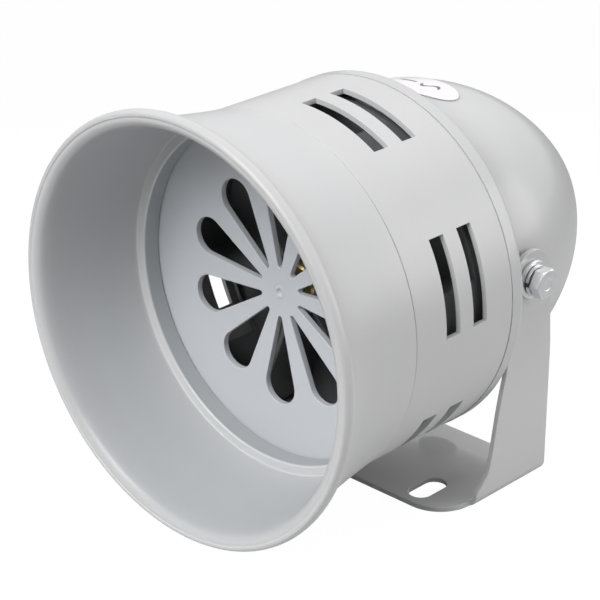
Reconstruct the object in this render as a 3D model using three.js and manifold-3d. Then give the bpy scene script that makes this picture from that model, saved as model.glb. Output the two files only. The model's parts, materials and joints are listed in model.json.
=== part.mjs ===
// Motor-driven alarm siren on a U-shaped steel mounting bracket.
//
// Millimetres, +Z up. The origin is on the underside of the bracket's base, straight below the two
// pivot bolts. The siren's axis runs along Y and its mouth faces -Y, so +X is its right-hand side
// seen from in front. Pieces on the siren's axis are turned about Y in the siren's own group, whose
// y = 0 is the plane of the mouth.
import * as THREE from 'three';
import { mergeVertices } from 'three/addons/utils/BufferGeometryUtils.js';
import Module from 'manifold-3d';

const wasm = await Module();
wasm.setup();

// ---- driving dimensions ------------------------------------------------------------------------
const MOUTH_R = 80;            // outer edge of the rolled rim
const DRUM_R = 69.1;           // outside of the drum
const DRUM_WALL = 2;
const COVER_R = 60.5;          // outside of the motor cover where the arms hold it
const RING_R = 69.4;           // flange of the motor cover
const AXIS_H = 80.8;           // siren axis above the underside of the base
const PIVOT_Y = 117;           // pivot bolts behind the plane of the mouth
const PIVOT_UP = 3.5;          // pivot bolts above the siren axis
const GAP = 0.3;               // clearance between touching pieces
const SEAT_R = 66.8;           // pieces that sit in the drum's bore

// stations along the siren axis, measured back from the mouth
const THROAT_Y = 43.5;         // step inside the horn
const HORN_END = 46.4;         // seam between the horn and the drum
const GRILLE_Y = 51.1;
const GRILLE_T = 2.6;
const LEDGE_Y = 92;            // rear ledge of the drum
const PLATE_Y = 95;            // motor plate
const PLATE_T = 2.9;
const FLANGE_Y = 98.4;         // seam between the drum and the cover
const RING_END = 105.3;        // rear face of the cover's flange
const SWELL_Y = 118;           // the cover starts to close here
const NOSE_Y = 183;            // the cover's rounded nose starts here
const GROMMET_Y = 142;         // cable entry in the underside of the cover

// ports of the drum, which the rotor opens and closes
const PORTS = 6;
const PORT_ANGLE = 30;         // degrees that each port covers
const SLOT_ROWS = [62.4, 76.8];
const SLOT_W = 7.3;

// petals of the grille
const PETALS = 10;
const PETAL_TURN = 18;         // degrees from +X to the first petal
const PETAL_TIP = 9.6;
const PETAL_TIP_R = 0.9;
const PETAL_END = 44.8;
const PETAL_END_R = 7.2;

// rotor
const ROTOR_R = 64;
const ROTOR_WALL = 2;
const ROTOR_FRONT = 57.5;
const ROTOR_REAR = 88.5;
const WINDOW_TURN = 12;        // degrees from +X to the edge of the first window
const SHAFT_R = 4;
const HUB_R = 8;

// motor
const CORE_Y = [118, 150];
const YOKE_R = 42;
const BORE_R = 24.6;
const TIE_R = 43.5;            // circle of the four tie bolts
const TIE_HOLE = 2.2;
const SCREW_R = 62;            // circle of the three cover screws
const SCREW_HOLE = 2.3;
const BEARING_R = 8;
const BRUSH_Y = 163.5;

// bracket
const STRIP = 2;
const ARM_X = 60.8;            // inner face of an arm
const BEND_R = 4.5;            // outside of the bends
const BASE_FRONT = 75;         // both measured back from the mouth, like the stations above
const BASE_REAR = 130.6;
const BASE_CORNER = 15;
const SLOT = { x: 41.7, y: 87.2, length: 17.2, width: 9.0 };
const ARM_END_R = 11;
const PIVOT_HOLE = 3.4;

// pivot bolts, M6
const BOLT_R = 3;
const HEX_FLATS = 10.4;
const HEX_H = 4.2;
const WASHER_R = 7.3;
const WASHER_T = 1.3;
const LOCK_R = 5.8;
const LOCK_T = 1.5;

const LARGE = 36;              // facets round a large piece
const MEDIUM = 24;
const SMALL = 12;

// ---- materials ---------------------------------------------------------------------------------
const finish = (color, roughness, metalness) =>
  new THREE.MeshStandardMaterial({ color, roughness, metalness });
const HORN_PLASTIC = finish(0xc9c9cc, 0.45, 0);
const GRILLE_PLASTIC = finish(0xbdc3c8, 0.42, 0);
const GREY_PAINT = finish(0xb9babc, 0.25, 0.1);
const BLACK_PLASTIC = finish(0x24272a, 0.5, 0);
const ZINC = finish(0xc8ccd0, 0.3, 0.9);
const STEEL = finish(0x9a9c9e, 0.35, 0.9);
const BRASS = finish(0xc9a54a, 0.3, 0.9);
const LAMINATION = finish(0x55585c, 0.5, 0.7);
const COPPER = finish(0xa4582c, 0.4, 0.7);
const CARBON = finish(0x2a2a2c, 0.7, 0);
const RUBBER = finish(0x1c1c1e, 0.8, 0);
const LABEL = finish(0xf2f1f3, 0.4, 0);

// ---- geometry helpers --------------------------------------------------------------------------
const rad = (degrees) => (degrees * Math.PI) / 180;
const polar = (r, degrees) => [r * Math.cos(rad(degrees)), r * Math.sin(rad(degrees))];

// Merges the shared vertices, drops the triangles that collapse on the axis and turns the faces out.
function closed(geometry) {
  const bare = geometry.clone();
  for (const name of ['normal', 'uv']) bare.deleteAttribute(name);
  const merged = mergeVertices(bare, 1e-4);
  const at = merged.attributes.position;
  const index = merged.index.array;
  const kept = [];
  let volume = 0;
  const [a, b, c] = [new THREE.Vector3(), new THREE.Vector3(), new THREE.Vector3()];
  for (let i = 0; i < index.length; i += 3) {
    const [p, q, r] = [index[i], index[i + 1], index[i + 2]];
    if (p === q || q === r || r === p) continue;
    kept.push(p, q, r);
    a.fromBufferAttribute(at, p);
    b.fromBufferAttribute(at, q);
    c.fromBufferAttribute(at, r);
    volume += a.dot(b.cross(c));
  }
  if (volume < 0) {
    for (let i = 0; i < kept.length; i += 3) [kept[i], kept[i + 1]] = [kept[i + 1], kept[i]];
  }
  merged.setIndex(kept);
  return merged;
}

// Solid of revolution about Y from a closed list of [radius, y] points.
function turned(points, facets = MEDIUM) {
  const loop = [...points, points[0]].map(([r, y]) => new THREE.Vector2(r, y));
  return closed(new THREE.LatheGeometry(loop, facets));
}

// Ring or tube about Y.
const ring = (inner, outer, y0, y1, facets = MEDIUM) =>
  turned([[inner, y0], [outer, y0], [outer, y1], [inner, y1]], facets);

// Cylinder about Y.
const rod = (r, y0, y1, facets = SMALL) => turned([[0, y0], [r, y0], [r, y1], [0, y1]], facets);

function outline(points, holes = []) {
  const shape = new THREE.Shape(points.map(([u, v]) => new THREE.Vector2(u, v)));
  shape.holes = holes.map((hole) => new THREE.Path(hole.map(([u, v]) => new THREE.Vector2(u, v))));
  return shape;
}

function extruded(shape, depth) {
  return closed(new THREE.ExtrudeGeometry(shape, { depth, bevelEnabled: false, curveSegments: 8 }));
}

// Extrusions of an outline drawn in the other two axes, between two stations.
const alongZ = (shape, z0, z1) => extruded(shape, z1 - z0).translate(0, 0, z0);
const alongY = (shape, y0, y1) => extruded(shape, y1 - y0).rotateX(Math.PI / 2).translate(0, y1, 0);
const alongX = (shape, x0, x1) =>
  extruded(shape, x1 - x0).rotateX(Math.PI / 2).rotateZ(Math.PI / 2).translate(x0, 0, 0);

const arc = (cx, cy, r, from, to, steps) =>
  Array.from({ length: steps + 1 }, (_, i) => {
    const [u, v] = polar(r, from + ((to - from) * i) / steps);
    return [cx + u, cy + v];
  });

const circle = (cx, cy, r, steps = SMALL) => arc(cx, cy, r, 0, 360, steps).slice(0, -1);

// Circle sector between two radii.
const sector = (inner, outer, from, to, steps = 4) =>
  [...arc(0, 0, outer, from, to, steps), ...arc(0, 0, inner, to, from, steps)];

const block = (x0, x1, y0, y1, z0, z1) => {
  const box = new THREE.BoxGeometry(x1 - x0, y1 - y0, z1 - z0);
  return closed(box.translate((x0 + x1) / 2, (y0 + y1) / 2, (z0 + z1) / 2));
};

function solid(geometry) {
  const merged = geometry.index ? geometry : closed(geometry);
  const vertProperties = Float32Array.from(merged.attributes.position.array);
  const triVerts = Uint32Array.from(merged.index.array);
  return new wasm.Manifold(new wasm.Mesh({ numProp: 3, vertProperties, triVerts }));
}

function surface(manifold) {
  const mesh = manifold.getMesh();
  const geometry = new THREE.BufferGeometry();
  geometry.setAttribute('position', new THREE.BufferAttribute(mesh.vertProperties, 3));
  geometry.setIndex(new THREE.BufferAttribute(mesh.triVerts, 1));
  return closed(geometry);
}

const joined = (...geometries) => surface(geometries.map(solid).reduce((a, b) => a.add(b)));
const common = (a, b) => surface(solid(a).intersect(solid(b)));
const cut = (geometry, ...tools) =>
  surface(tools.map(solid).reduce((a, b) => a.subtract(b), solid(geometry)));
const turnedBy = (geometry, degrees) => geometry.clone().rotateY(-rad(degrees));
const mirrored = (geometry) => closed(geometry.clone().scale(-1, 1, 1));

// Copies of a piece placed round the siren axis: degrees are counted from +X towards +Z.
const aroundAxis = (geometry, count, from = 0) =>
  Array.from({ length: count }, (_, i) => turnedBy(geometry, from + (360 * i) / count));

function mesh(name, geometry, material) {
  const shown = geometry.clone();
  shown.computeVertexNormals();
  const made = new THREE.Mesh(shown, material);
  made.name = name;
  return made;
}

// ---- horn --------------------------------------------------------------------------------------
function hornFlare() {
  const rim = [
    [76.4, 5.4], [78.6, 4.9], [MOUTH_R - 0.3, 3.6], [MOUTH_R, 1.8], [79.4, 0.4], [78.2, 0],
    [76.6, 0.1], [75.2, 0.7], [73.5, 1.8],
  ];
  const inside = [[71.4, 15], [69.6, 28], [67.8, THROAT_Y]];
  const spigotEnd = GRILLE_Y - GAP;
  const throat = [[63.9, THROAT_Y], [63.6, spigotEnd], [SEAT_R, spigotEnd], [SEAT_R, HORN_END]];
  const outside = [[69.4, HORN_END], [70.0, 41], [71.6, 30], [74.0, 16]];
  return turned([...outside, ...rim, ...inside, ...throat], LARGE);
}

// Ten petal-shaped openings, each a small round end near the middle and a large one outside.
function petal(turn) {
  const tip = PETAL_TIP + PETAL_TIP_R;
  const end = PETAL_END - PETAL_END_R;
  const lean = (Math.asin((PETAL_END_R - PETAL_TIP_R) / (end - tip)) * 180) / Math.PI;
  const ends = [
    ...arc(end, 0, PETAL_END_R, -90 - lean, 90 + lean, 9),
    ...arc(tip, 0, PETAL_TIP_R, 90 + lean, 270 - lean, 3),
  ];
  const [c, s] = polar(1, turn);
  return ends.map(([u, v]) => [u * c - v * s, u * s + v * c]);
}

function soundGrille() {
  const petals = Array.from({ length: PETALS }, (_, i) => petal(PETAL_TURN + (360 * i) / PETALS));
  const disc = outline(circle(0, 0, SEAT_R - 0.1, LARGE), petals);
  const plate = alongY(disc, GRILLE_Y, GRILLE_Y + GRILLE_T);
  const [markR, markDepth] = [1.3, 0.9];
  const above = GRILLE_Y - 1;
  const mark = [[0, above], [markR, above], [markR, GRILLE_Y], [0, GRILLE_Y + markDepth]];
  return cut(plate, turned(mark, SMALL));
}

// ---- drum --------------------------------------------------------------------------------------
const COVER_SCREWS = [30, 150, 270].map((turn) => polar(SCREW_R, turn));

const screwHoles = (y0, y1) =>
  COVER_SCREWS.map(([x, z]) => rod(SCREW_HOLE, y0, y1, 8).translate(x, 0, z));

function drumHousing() {
  const bore = DRUM_R - DRUM_WALL;
  const edge = 0.3;
  const front = HORN_END + GAP;
  const seat = GRILLE_Y + GRILLE_T + GAP;
  const rear = FLANGE_Y - GAP;
  const [lipR, lipT] = [62.5, 1.8];
  const [ledgeR, ledgeRear] = [58.5, PLATE_Y - GAP];
  const shell = turned([
    [DRUM_R - edge, front], [DRUM_R, front + edge], [DRUM_R, rear - edge], [DRUM_R - edge, rear],
    [bore, rear], [bore, ledgeRear], [ledgeR, ledgeRear], [ledgeR, LEDGE_Y], [bore, LEDGE_Y],
    [bore, seat + lipT], [lipR, seat + lipT], [lipR, seat], [bore, seat], [bore, front],
  ], LARGE);
  const slots = [];
  for (let port = 0; port < PORTS; port += 1) {
    const from = (360 * port) / PORTS;
    const opening = outline(sector(bore - 6, DRUM_R + 5, from, from + PORT_ANGLE));
    for (const y of SLOT_ROWS) slots.push(alongY(opening, y, y + SLOT_W));
  }
  return cut(shell, ...slots, ...screwHoles(LEDGE_Y - 1, PLATE_Y + 1));
}

// ---- motor cover -------------------------------------------------------------------------------
// Radius of the cover: straight at the flange, then closing ever faster towards the nose.
const swell = (y) => 27.6 * Math.max(0, (y - SWELL_Y) / (NOSE_Y - SWELL_Y)) ** 2.11;
const coverRadius = (y) => COVER_R - swell(y);

function coverProfile(inset) {
  const [noseFlat, lean] = [8, 42];
  const stations = [SWELL_Y, 131, 144, 157, 170, NOSE_Y - inset * 0.6];
  const wall = stations.map((y) => {
    const slope = coverRadius(y + 0.5) - coverRadius(y - 0.5);
    return [coverRadius(y) - inset * Math.hypot(1, slope), y];
  });
  const noseR = (coverRadius(NOSE_Y) - noseFlat) / Math.cos(rad(lean));
  const centre = NOSE_Y - noseR * Math.sin(rad(lean));
  const nose = arc(noseFlat, centre, noseR - inset, lean, 90, 4).slice(1);
  return [...wall, ...nose, [0, centre + noseR - inset]];
}

function rearCover() {
  const [wall, bossR, entryR] = [1.3, 3.8, 5.3];
  const step = RING_END - 2;
  const flangeInner = RING_R - 2.1;
  const outer = [
    [RING_R, FLANGE_Y], [RING_R, 103.1], [68.9, 104.6], [67.6, RING_END], [61.3, RING_END],
    [COVER_R, RING_END + 0.8], ...coverProfile(0),
  ];
  const inner = [
    ...coverProfile(wall).reverse(), [COVER_R - wall, step], [flangeInner, step],
    [flangeInner, FLANGE_Y],
  ];
  const shell = turned([...outer, ...inner], LARGE);
  const bosses = COVER_SCREWS.map(([x, z]) => rod(bossR, FLANGE_Y - 0.2, 104).translate(x, 0, z));
  const pilots = screwHoles(FLANGE_Y - 1, 102.6);
  const pivot = acrossPivot(PIVOT_UP);
  return cut(joined(shell, ...bosses), ...pilots, pivot, placedGrommet(rod(entryR, -8, 8)));
}

// Drill that passes through both arms and both sides of the cover.
const acrossPivot = (height) =>
  rod(PIVOT_HOLE, -90, 90).rotateZ(Math.PI / 2).translate(0, PIVOT_Y, height);

// The cable leaves through the underside of the cover, square to the middle of its wall.
function placedGrommet(geometry) {
  const slope = coverRadius(GROMMET_Y + 0.5) - coverRadius(GROMMET_Y - 0.5);
  const middle = coverRadius(GROMMET_Y) - 0.65;
  return geometry.rotateX(-Math.PI / 2 - Math.atan(slope)).translate(0, GROMMET_Y, -middle);
}

function cableGrommet() {
  const [bore, groove, halfGroove] = [3, 4.9, 1.9];
  return placedGrommet(turned([
    [bore, -3.8], [6.6, -3.8], [7, -3.2], [7, -halfGroove], [groove, -halfGroove],
    [groove, halfGroove], [8, halfGroove], [8, 3.4], [5.4, 4.8], [bore, 4.8],
  ], 16));
}

// Oval label on the crown of the cover, lying on its curve.
function ratingLabel() {
  const [halfAngle, halfWidth, centre, rings, spokes] = [16.2, 10, 126.4, 2, 20];
  const positions = [];
  const point = (ringNumber, spoke, lift) => {
    const [u, v] = polar(ringNumber / rings, (360 * spoke) / spokes);
    const y = centre + halfWidth * v;
    const [x, z] = polar(coverRadius(y) + lift, 90 + halfAngle * u);
    return [x, y, z];
  };
  const triangle = (...corners) => corners.forEach((corner) => positions.push(...corner));
  const quad = (a, b, c, d) => {
    triangle(a, b, c);
    triangle(a, c, d);
  };
  const [under, over] = [0.3, 0.6];
  for (let k = 0; k < spokes; k += 1) {
    triangle(point(0, 0, over), point(1, k, over), point(1, k + 1, over));
    triangle(point(0, 0, under), point(1, k + 1, under), point(1, k, under));
    for (let i = 1; i < rings; i += 1) {
      quad(point(i, k, over), point(i + 1, k, over), point(i + 1, k + 1, over), point(i, k + 1, over));
      quad(point(i, k, under), point(i, k + 1, under), point(i + 1, k + 1, under), point(i + 1, k, under));
    }
    const [rim, next] = [[rings, k], [rings, k + 1]];
    quad(point(...rim, under), point(...next, under), point(...next, over), point(...rim, over));
  }
  const geometry = new THREE.BufferGeometry();
  geometry.setAttribute('position', new THREE.Float32BufferAttribute(positions, 3));
  return closed(geometry);
}

// ---- motor -------------------------------------------------------------------------------------
const TIE_BOLTS = [45, 135, 225, 315].map((turn) => polar(TIE_R, turn));

const tieHoles = (y0, y1) => TIE_BOLTS.map(([x, z]) => rod(TIE_HOLE, y0, y1, 8).translate(x, 0, z));

function motorPlate() {
  const bore = BEARING_R + GAP;
  const [bossR, bossRear] = [15, PLATE_Y + 5];
  const [ventR, ventAt] = [6.5, 28];
  const through = [PLATE_Y - 5, PLATE_Y + 10];
  const disc = ring(bore, SEAT_R, PLATE_Y, PLATE_Y + PLATE_T, LARGE);
  const boss = ring(bore, bossR, PLATE_Y + 1, bossRear);
  const vents = aroundAxis(rod(ventR, ...through, 10).translate(ventAt, 0, 0), 6);
  return cut(joined(disc, boss), ...vents, ...screwHoles(...through), ...tieHoles(...through));
}

// Laminated core: a round yoke with ears for the tie bolts and two pole pieces with wide shoes.
function statorCore() {
  const window = 37.4;
  const poleX = 12.3;
  const earR = 5;
  const through = [CORE_Y[0] - 1, CORE_Y[1] + 1];
  const top = Math.sqrt(window ** 2 - poleX ** 2);
  const at = (Math.atan2(top, poleX) * 180) / Math.PI;
  const shoe = [[16.5, 27.2], [poleX, 28]];
  const half = [...shoe, [poleX, top], ...arc(0, 0, window, at, -at, 12).slice(1, -1), [poleX, -top]];
  const lower = shoe.map(([x, z]) => [x, -z]).reverse();
  const boreFrom = 48.5;
  const right = [...half, ...lower, ...arc(0, 0, BORE_R, -boreFrom, -180 + boreFrom, 8)];
  const left = [...half, ...lower].map(([x, z]) => [-x, -z]);
  const inside = [...right, ...left, ...arc(0, 0, BORE_R, 180 - boreFrom, boreFrom, 8)];
  const yoke = alongY(outline(circle(0, 0, YOKE_R, MEDIUM), [inside]), ...CORE_Y);
  const ears = TIE_BOLTS.map(([x, z]) => rod(earR, ...CORE_Y, 14).translate(x, 0, z));
  const reamed = rod(YOKE_R - 2, ...through, MEDIUM);
  const trimmedEars = ears.map((ear) => cut(ear, reamed));
  return cut(joined(yoke, ...trimmedEars), ...tieHoles(...through));
}

function fieldCoil() {
  const middle = (CORE_Y[0] + CORE_Y[1]) / 2;
  const loop = (halfX, halfY, corner) => [
    ...arc(halfX - corner, middle + halfY - corner, corner, 0, 90, 3),
    ...arc(-halfX + corner, middle + halfY - corner, corner, 90, 180, 3),
    ...arc(-halfX + corner, middle - halfY + corner, corner, 180, 270, 3),
    ...arc(halfX - corner, middle - halfY + corner, corner, 270, 360, 3),
  ];
  const [lowest, highest] = [28.4, 32.6];
  return alongZ(outline(loop(17.1, 21.5, 4), [loop(12.7, 16.5, 1)]), lowest, highest);
}

// Cup-shaped end frame that carries the rear bearing and the two brush holders.
function rearBridge() {
  const bore = BEARING_R + GAP;
  const [front, seat, floor, rear] = [CORE_Y[1] + 0.4, CORE_Y[1] + 2.4, 172, 176.8];
  const cup = turned([
    [38, front], [48.4, front], [48.4, seat], [40, seat], [39.6, 157], [33, floor], [10.5, floor],
    [10.5, rear], [bore, rear], [bore, 170], [31.4, 170], [37.6, 156.5],
  ]);
  const [halfY, halfZ] = [HOLDER_Y + GAP, HOLDER_Z + GAP];
  const brushWindow = block(20, 45, BRUSH_Y - halfY, BRUSH_Y + halfY, -halfZ, halfZ);
  const vents = aroundAxis(block(20, 45, 156, 168, -7, 7), 4, 45);
  return cut(cup, brushWindow, mirrored(brushWindow), ...vents, ...tieHoles(front - 1, seat + 2));
}

// Half sizes of a brush holder.
const HOLDER_Y = 5;
const HOLDER_Z = 4;

// Block about the brush's own middle, which points at the commutator along X.
const brushBlock = (x0, x1, halfY, halfZ) =>
  block(x0, x1, BRUSH_Y - halfY, BRUSH_Y + halfY, -halfZ, halfZ);

function brushHolder() {
  const body = brushBlock(13, 41, HOLDER_Y, HOLDER_Z);
  const flange = brushBlock(39.9, 41.2, HOLDER_Y + 0.8, HOLDER_Z + 1.5);
  const bore = brushBlock(12, 43, 3.6, 2.6);
  return cut(joined(body, flange), bore);
}

const carbonBrush = () => brushBlock(11.4, 25, 3.2, 2.2);

const brushSpring = () =>
  ring(1.2, 1.9, 25.3, 38.5, SMALL).rotateZ(-Math.PI / 2).translate(0, BRUSH_Y, 0);

function tieBolt([x, z]) {
  const [headR, shankR, under, top] = [3.7, 1.8, 152.7, 155.4];
  const head = alongY(outline(circle(0, 0, headR, 6)), under, top);
  return joined(head, rod(shankR, PLATE_Y - 0.4, under + 0.3)).translate(x, 0, z);
}

const tieSpacer = ([x, z]) =>
  ring(TIE_HOLE, 4, PLATE_Y + PLATE_T + GAP, CORE_Y[0] - GAP, SMALL).translate(x, 0, z);

function coverScrew([x, z]) {
  const [headR, shankR, under, tip] = [3.3, 2, LEDGE_Y - GAP, 102.3];
  return turned([
    [0, under - 1.9], [headR - 0.9, under - 1.9], [headR, under - 1.2], [headR, under],
    [shankR, under], [shankR, tip - 0.5], [0, tip],
  ], SMALL).translate(x, 0, z);
}

// ---- rotor -------------------------------------------------------------------------------------
const ON_SHAFT = SHAFT_R + GAP;
const HUB_FRONT = 60;
const HUB_REAR = 91;
const HUB_SCREW_Y = 62.4;

function impeller() {
  const bore = HUB_R + GAP;
  const [webT, bossR, bossFront] = [2, 12, 64];
  const [vaneT, vaneFront] = [2, 61];
  const web = ring(bore, ROTOR_R - 0.5, ROTOR_REAR - webT, ROTOR_REAR, LARGE);
  const wall = ring(ROTOR_R - ROTOR_WALL, ROTOR_R, ROTOR_FRONT, ROTOR_REAR, LARGE);
  const boss = ring(bore, bossR, bossFront, ROTOR_REAR - webT / 2);
  const vane = block(
    bossR - 2, ROTOR_R - ROTOR_WALL / 2, vaneFront, ROTOR_REAR - webT / 2, -vaneT / 2, vaneT / 2,
  );
  const opening = outline(sector(ROTOR_R - 9, ROTOR_R + 6, WINDOW_TURN, WINDOW_TURN + PORT_ANGLE));
  const windows = aroundAxis(alongY(opening, ROTOR_FRONT + 3, ROTOR_REAR - 3.5), PORTS);
  const vanes = aroundAxis(vane, PORTS, WINDOW_TURN - 2);
  return joined(cut(joined(web, wall), ...windows), boss, ...vanes);
}

// Hole or screw that points at the shaft through the front of the hub.
const hubRod = (r, x0, x1) =>
  rod(r, x0, x1, 10).rotateZ(-Math.PI / 2).translate(0, HUB_SCREW_Y, 0);

function impellerHub() {
  const edge = 0.8;
  const body = turned([
    [ON_SHAFT, HUB_FRONT], [HUB_R - edge, HUB_FRONT], [HUB_R, HUB_FRONT + edge], [HUB_R, HUB_REAR],
    [ON_SHAFT, HUB_REAR],
  ]);
  return cut(body, hubRod(1.6, 0, 12));
}

const hubScrew = () => hubRod(1.3, ON_SHAFT, 7.6);

function motorShaft() {
  const [front, rear, edge] = [58.4, 178.2, 0.6];
  return turned([
    [0, front], [SHAFT_R - edge, front], [SHAFT_R, front + edge], [SHAFT_R, rear - edge],
    [SHAFT_R - edge, rear], [0, rear],
  ], 20);
}

function coolingFan() {
  const [front, discRear, rear] = [101.2, 102.6, 107];
  const disc = ring(ON_SHAFT, 30, front, discRear);
  const collar = ring(ON_SHAFT, 8, discRear - 0.6, rear, 16);
  const blade = block(12, 31, discRear - 0.6, rear, -0.8, 0.8);
  return joined(disc, collar, ...aroundAxis(blade, 8));
}

function armatureCore() {
  const [slots, coreR, slotFloor] = [12, 23.8, 15];
  const pitch = 360 / slots;
  const mouth = 3.2;
  const belly = mouth * 1.3;
  const edge = [];
  for (let turn = 0; turn < 360; turn += pitch) {
    edge.push(...arc(0, 0, coreR, turn + mouth, turn + pitch - mouth, 2));
    edge.push(polar(slotFloor, turn + pitch - belly), polar(slotFloor, turn + pitch + belly));
  }
  return alongY(outline(edge, [circle(0, 0, ON_SHAFT)]), ...CORE_Y);
}

const windingEnd = (y0, y1) => turned([
  [ON_SHAFT, y0 + 2], [12, y0], [18, y0], [20.5, y0 + 3], [20.5, y1 - 3], [18, y1], [12, y1],
  [ON_SHAFT, y1 - 2],
]);

const commutator = () => ring(ON_SHAFT, 11, BRUSH_Y - 4.1, BRUSH_Y + 4.9);

// ---- bracket -----------------------------------------------------------------------------------
// A strip bent into a U: its cross-section is swept along Y, then the arms are trimmed to their
// side view and the base to its plan. Heights are above the underside of the base.
const PIVOT_H = AXIS_H + PIVOT_UP;

function stripSection() {
  const outer = ARM_X + STRIP;
  const top = PIVOT_H + 20;
  const corner = outer - BEND_R;
  const inside = BEND_R - STRIP;
  return outline([
    [outer, top], ...arc(corner, BEND_R, BEND_R, 0, -90, 5), ...arc(-corner, BEND_R, BEND_R, 270, 180, 5),
    [-outer, top], [-ARM_X, top], ...arc(-corner, BEND_R, inside, 180, 270, 4),
    ...arc(corner, BEND_R, inside, -90, 0, 4), [ARM_X, top],
  ]);
}

function armSideView() {
  return outline([
    [90, -2], [90, 4.9], [91.3, 6.9], [93.8, 9.1], [96.6, 12.6], [98.2, 18], [99.6, 25], [101.4, 35],
    [103.4, 44], [105.8, 52], [PIVOT_Y - ARM_END_R, PIVOT_H],
    ...arc(PIVOT_Y, PIVOT_H, ARM_END_R, 170, 5, 10), [BASE_REAR, 54], [BASE_REAR, -2],
  ]);
}

function basePlan() {
  const x = ARM_X - 1.2;
  const cornerX = x - BASE_CORNER;
  const cornerY = BASE_FRONT + BASE_CORNER;
  return outline([
    [x, BASE_REAR], [x, cornerY], ...arc(cornerX, cornerY, BASE_CORNER, 0, -90, 6),
    ...arc(-cornerX, cornerY, BASE_CORNER, 270, 180, 6), [-x, cornerY], [-x, BASE_REAR],
  ]);
}

function mountingSlot(side) {
  const reach = (SLOT.length - SLOT.width) / 2;
  const r = SLOT.width / 2;
  const x = side * SLOT.x;
  const ends = [...arc(x, SLOT.y + reach, r, 0, 180, 7), ...arc(x, SLOT.y - reach, r, 180, 360, 7)];
  return alongZ(outline(ends), -1, STRIP + 1);
}

function mountingBracket() {
  const strip = alongY(stripSection(), BASE_FRONT - 5, BASE_REAR + 5);
  const base = common(strip, alongZ(basePlan(), -1, BEND_R + 1));
  const bendStart = ARM_X + STRIP - BEND_R;
  const right = alongX(armSideView(), bendStart, bendStart + 12);
  const sides = joined(right, alongX(armSideView(), -bendStart - 12, -bendStart));
  const arms = common(strip, sides);
  const holes = [mountingSlot(1), mountingSlot(-1), acrossPivot(PIVOT_H)];
  return cut(joined(base, arms), ...holes).translate(0, -PIVOT_Y, 0);
}

// ---- pivot hardware, drawn along +X from the outside of the right arm ----------------------------
const onPivot = (geometry) => geometry.rotateZ(-Math.PI / 2).translate(0, PIVOT_Y, PIVOT_UP);

const SHIM = 0.15;             // clearance between stacked washers
const FLAT_X = ARM_X + STRIP + SHIM;
const LOCK_X = FLAT_X + WASHER_T + SHIM;
const HEAD_X = LOCK_X + LOCK_T + SHIM;
const BOLT_TIP_X = 47;
const NUT_X = 50.2;
const NUT_H = 5;

const hexagon = (y0, y1) => {
  const corner = HEX_FLATS / Math.sqrt(3);
  const edge = 0.9;
  const prism = alongY(outline(arc(0, 0, corner, 30, 330, 5)), y0, y1);
  const envelope = turned([
    [0, y0 - 1], [corner + 1, y0 - 1], [corner + 1, y1 - edge], [corner - edge, y1], [0, y1],
  ]);
  return common(prism, envelope);
};

const pivotBolt = () =>
  onPivot(joined(hexagon(HEAD_X, HEAD_X + HEX_H), rod(BOLT_R, BOLT_TIP_X, HEAD_X + 1)));
const flatWasher = () => onPivot(ring(PIVOT_HOLE, WASHER_R, FLAT_X, FLAT_X + WASHER_T));

function lockWasher() {
  const washer = ring(PIVOT_HOLE, LOCK_R, LOCK_X, LOCK_X + LOCK_T);
  const split = block(2, 8, LOCK_X - 1, LOCK_X + LOCK_T + 1, -0.5, 0.5);
  return onPivot(cut(washer, split));
}

// Nut on a round plate, inside the cover.
function pivotNut() {
  const [plateR, plateT] = [8, 2.4];
  const nut = cut(hexagon(NUT_X, NUT_X + NUT_H), rod(PIVOT_HOLE, NUT_X - 10, NUT_X + 10));
  const plate = ring(PIVOT_HOLE, plateR, NUT_X + NUT_H - 0.2, NUT_X + NUT_H + plateT, 20);
  return onPivot(joined(nut, plate));
}

// ---- assembly ----------------------------------------------------------------------------------
const siren = new THREE.Group();
siren.position.set(0, -PIVOT_Y, AXIS_H);

siren.add(
  mesh('horn_flare', hornFlare(), HORN_PLASTIC),
  mesh('sound_grille', soundGrille(), GRILLE_PLASTIC),
  mesh('drum_housing', drumHousing(), HORN_PLASTIC),
  mesh('rear_cover', rearCover(), GREY_PAINT),
  mesh('rating_label', ratingLabel(), LABEL),
  mesh('cable_grommet', cableGrommet(), RUBBER),
  mesh('motor_plate', motorPlate(), STEEL),
  mesh('stator_core', statorCore(), LAMINATION),
  mesh('field_coil_upper', fieldCoil(), COPPER),
  mesh('field_coil_lower', closed(fieldCoil().scale(1, 1, -1)), COPPER),
  mesh('rear_bridge', rearBridge(), STEEL),
  mesh('front_bearing', ring(ON_SHAFT, BEARING_R, PLATE_Y + 0.1, PLATE_Y + 4.9, 16), STEEL),
  mesh('rear_bearing', ring(ON_SHAFT, BEARING_R, 171, 176, 16), STEEL),
);

TIE_BOLTS.forEach((place, i) => {
  siren.add(mesh(`tie_bolt_${i + 1}`, tieBolt(place), ZINC));
  siren.add(mesh(`tie_spacer_${i + 1}`, tieSpacer(place), ZINC));
});
COVER_SCREWS.forEach((place, i) => siren.add(mesh(`cover_screw_${i + 1}`, coverScrew(place), ZINC)));

const PAIRED = [
  ['brush_holder', brushHolder(), BRASS],
  ['carbon_brush', carbonBrush(), CARBON],
  ['brush_spring', brushSpring(), STEEL],
  ['pivot_bolt', pivotBolt(), ZINC],
  ['lock_washer', lockWasher(), ZINC],
  ['flat_washer', flatWasher(), ZINC],
  ['pivot_nut', pivotNut(), ZINC],
];
for (const [name, geometry, material] of PAIRED) {
  siren.add(mesh(`${name}_right`, geometry, material));
  siren.add(mesh(`${name}_left`, mirrored(geometry), material));
}

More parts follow.
